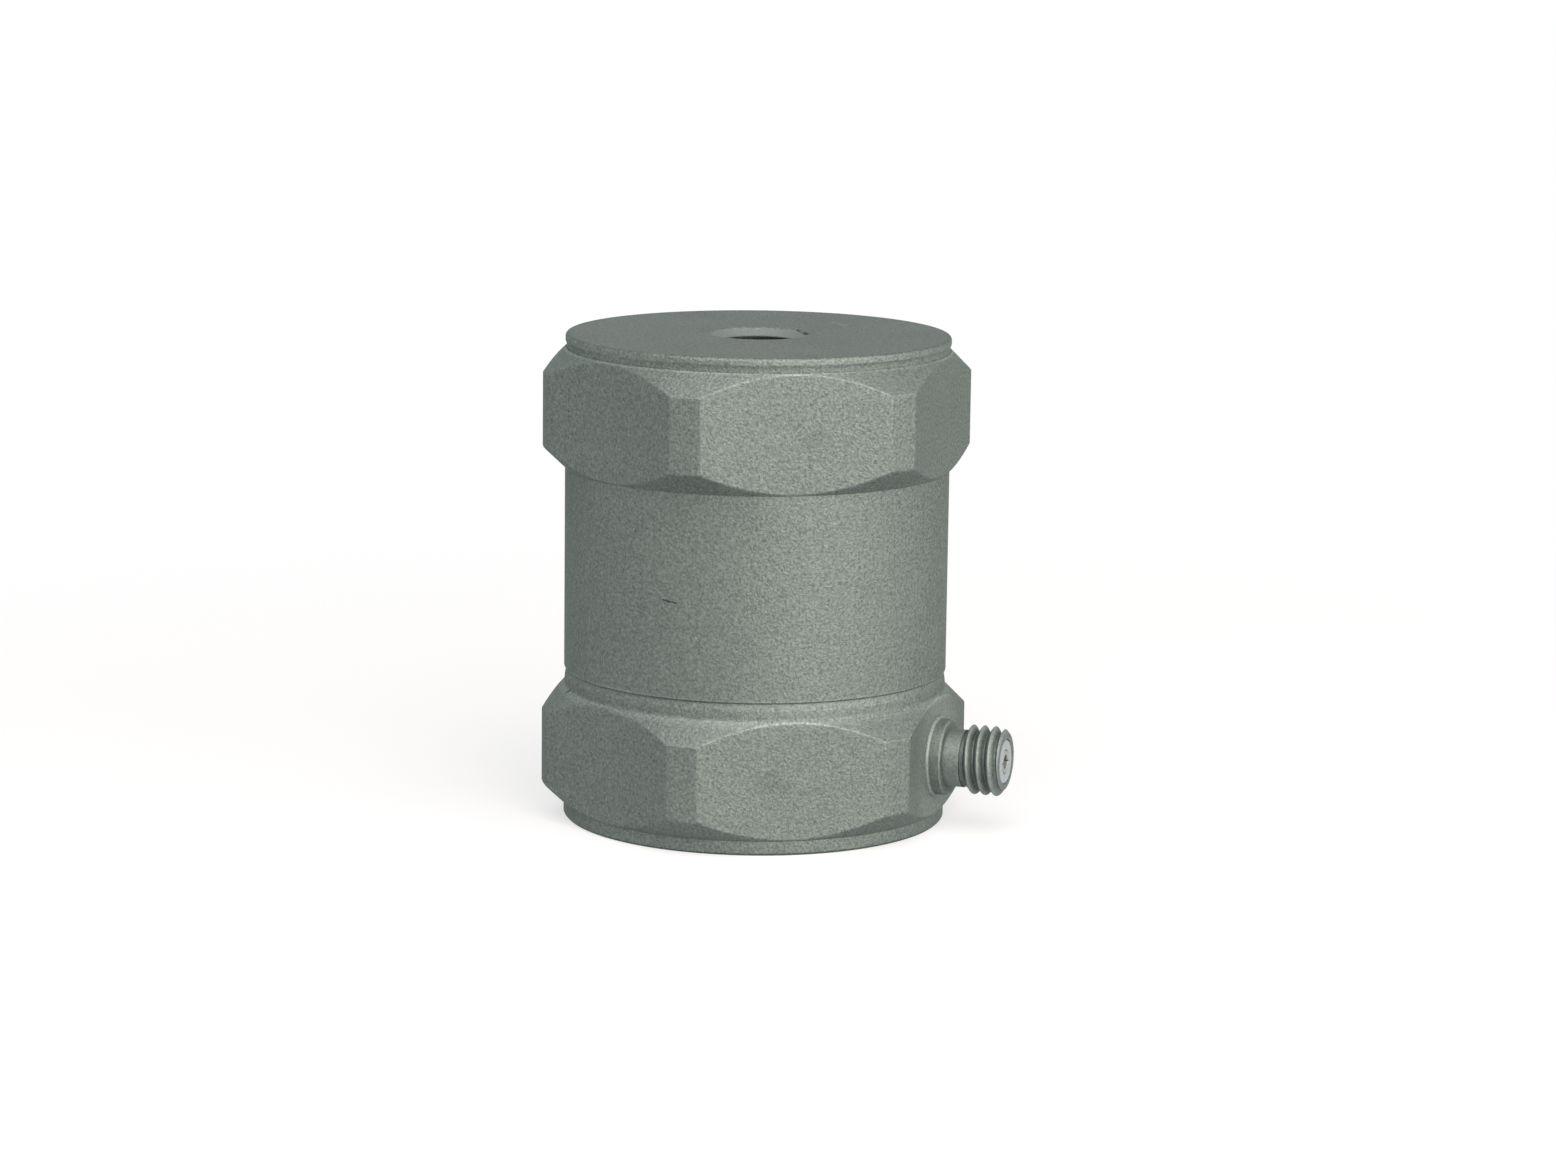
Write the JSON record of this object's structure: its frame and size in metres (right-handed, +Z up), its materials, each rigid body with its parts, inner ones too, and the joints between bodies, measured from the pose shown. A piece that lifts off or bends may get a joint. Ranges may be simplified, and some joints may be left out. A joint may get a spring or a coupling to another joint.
{
  "type": "vibration sensor",
  "caption": "Round metal vibration sensor with chamfered hexagonal ends, a tapped hole in its base and top, and a threaded coaxial connector on its side.",
  "frame": {"origin": "centre of the base's underside, at the mouth of its tapped hole", "axes": "+Z up along the body's axis and out of the top hole, +X out along the side connector"},
  "size_m": [0.0319, 0.03, 0.034],
  "materials": {
    "body_steel": "matte",
    "connector_steel": "satin",
    "insulator_white": "satin",
    "contact_nickel": "satin",
    "inner_steel": "satin",
    "dark_screw": "satin",
    "crystal": "matte",
    "tungsten": "satin",
    "pillar_brass": "satin",
    "board_green": "satin",
    "chip_black": "matte",
    "capacitor_tan": "matte",
    "wire_copper": "satin"
  },
  "bodies": {
    "root": {"base": "body_steel", "housing": "body_steel", "connector_shell": "connector_steel", "connector_insulator": "insulator_white", "connector_contact": "contact_nickel", "element_post": "inner_steel", "post_screw": "dark_screw", "piezo_plate_1": "crystal", "piezo_plate_2": "crystal", "piezo_plate_3": "crystal", "seismic_mass_1": "tungsten", "seismic_mass_2": "tungsten", "seismic_mass_3": "tungsten", "preload_ring": "inner_steel", "board_pillar_1": "pillar_brass", "board_pillar_2": "pillar_brass", "board_pillar_3": "pillar_brass", "circuit_board": "board_green", "board_screws": "dark_screw", "amplifier_chip": "chip_black", "board_resistors": "chip_black", "coupling_capacitor": "capacitor_tan", "signal_lead": "wire_copper", "output_lead": "wire_copper"}
  },
  "joints": []
}
